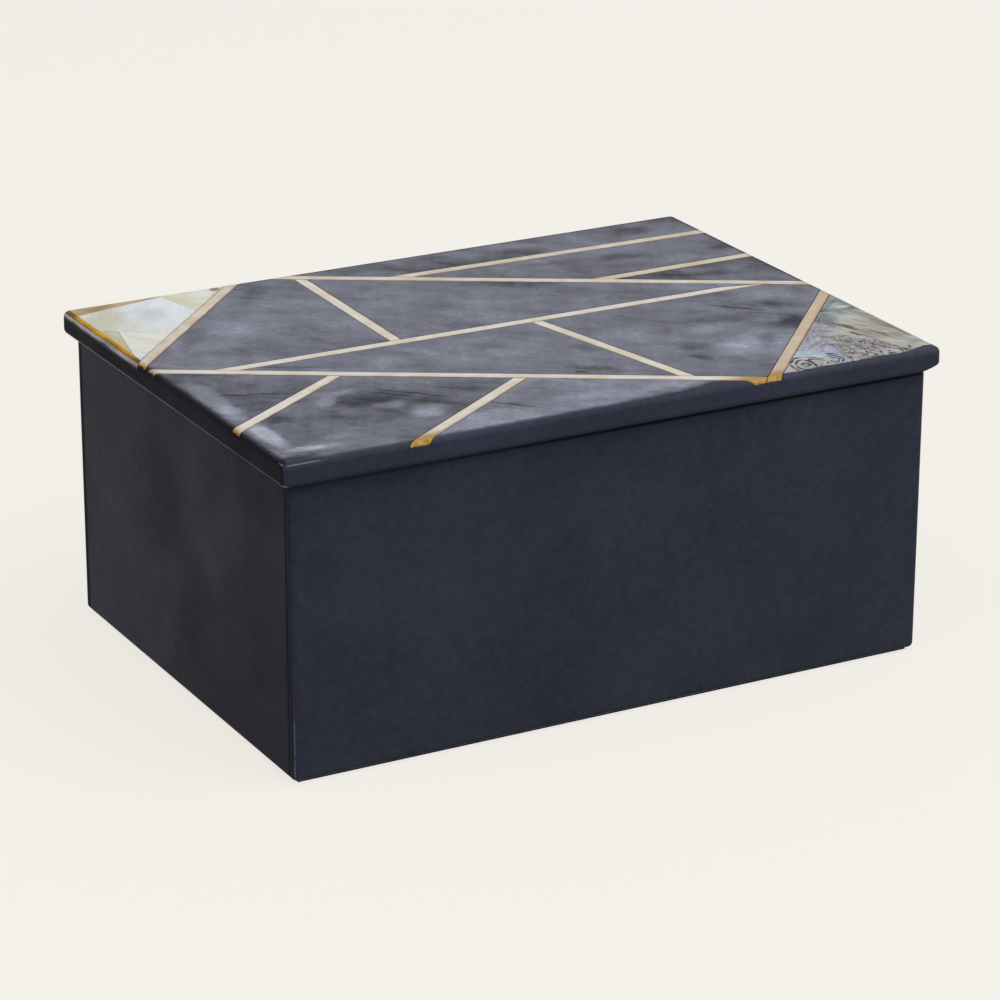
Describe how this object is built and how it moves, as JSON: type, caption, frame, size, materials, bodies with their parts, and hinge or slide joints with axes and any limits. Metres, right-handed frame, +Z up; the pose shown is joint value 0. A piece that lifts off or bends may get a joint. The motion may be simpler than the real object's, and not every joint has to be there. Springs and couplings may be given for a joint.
{
  "type": "inlaid box",
  "caption": "Rectangular dark lacquered wooden box with a loose lift-off lid, its top inlaid with smoky tiles, slanting brass strips and shell corners, for keeping small things.",
  "frame": {"origin": "centre of the base, on the surface that the box rests on", "axes": "+X along the length of the box, -Y towards the front, +Z up"},
  "size_m": [0.25, 0.18, 0.113],
  "materials": {
    "lacquered_wood": "dark navy-charcoal satin lacquer, worn paler along the arrises",
    "bottom_board": "plain stained board",
    "steel_pin": "plain steel panel pins",
    "felt": "dense dark felt",
    "brass_strip": "pale brushed brass, ground flush with the tiles, amber towards the rim",
    "smoky_tile": "charcoal satin lacquer with cloudy smoke-like variation",
    "mother_of_pearl": "polished mother-of-pearl, pale grey to tan",
    "abalone_shell": "polished abalone shell, grey with blue, green and violet play and dark veins"
  },
  "bodies": {
    "box": {"front_panel": "lacquered_wood", "back_panel": "lacquered_wood", "left_panel": "lacquered_wood", "right_panel": "lacquered_wood", "bottom_panel": "bottom_board", "bottom_pins": "steel_pin", "base_felt": "felt", "floor_lining": "felt"},
    "lid": {"lid_core": "lacquered_wood", "lip_front": "lacquered_wood", "lip_back": "lacquered_wood", "lip_left": "lacquered_wood", "lip_right": "lacquered_wood", "lip_pins": "steel_pin", "pearl_strip": "brass_strip", "abalone_strip": "brass_strip", "back_strip": "brass_strip", "front_strip": "brass_strip", "middle_strip": "brass_strip", "upper_cross_strip": "brass_strip", "lower_cross_strip": "brass_strip", "left_strip": "brass_strip", "lower_strip": "brass_strip", "upper_right_strip": "brass_strip", "right_strip": "brass_strip", "back_tile": "smoky_tile", "upper_right_tile": "smoky_tile", "right_tile": "smoky_tile", "upper_left_tile": "smoky_tile", "centre_tile": "smoky_tile", "sliver_tile": "smoky_tile", "lower_centre_tile": "smoky_tile", "lower_right_tile": "smoky_tile", "left_tile": "smoky_tile", "corner_tile": "smoky_tile", "front_tile": "smoky_tile", "pearl_band": "mother_of_pearl", "pearl_right": "mother_of_pearl", "pearl_centre": "mother_of_pearl", "pearl_edge": "mother_of_pearl", "pearl_lower": "mother_of_pearl", "pearl_tip": "mother_of_pearl", "abalone_left": "abalone_shell", "abalone_middle": "abalone_shell", "abalone_right": "abalone_shell", "abalone_tip": "abalone_shell"}
  },
  "joints": [
    {"name": "lid_lift", "type": "slide", "parent": "box", "child": "lid", "axis": [0, 0, 1], "range_m": [0, 0.15]}
  ]
}
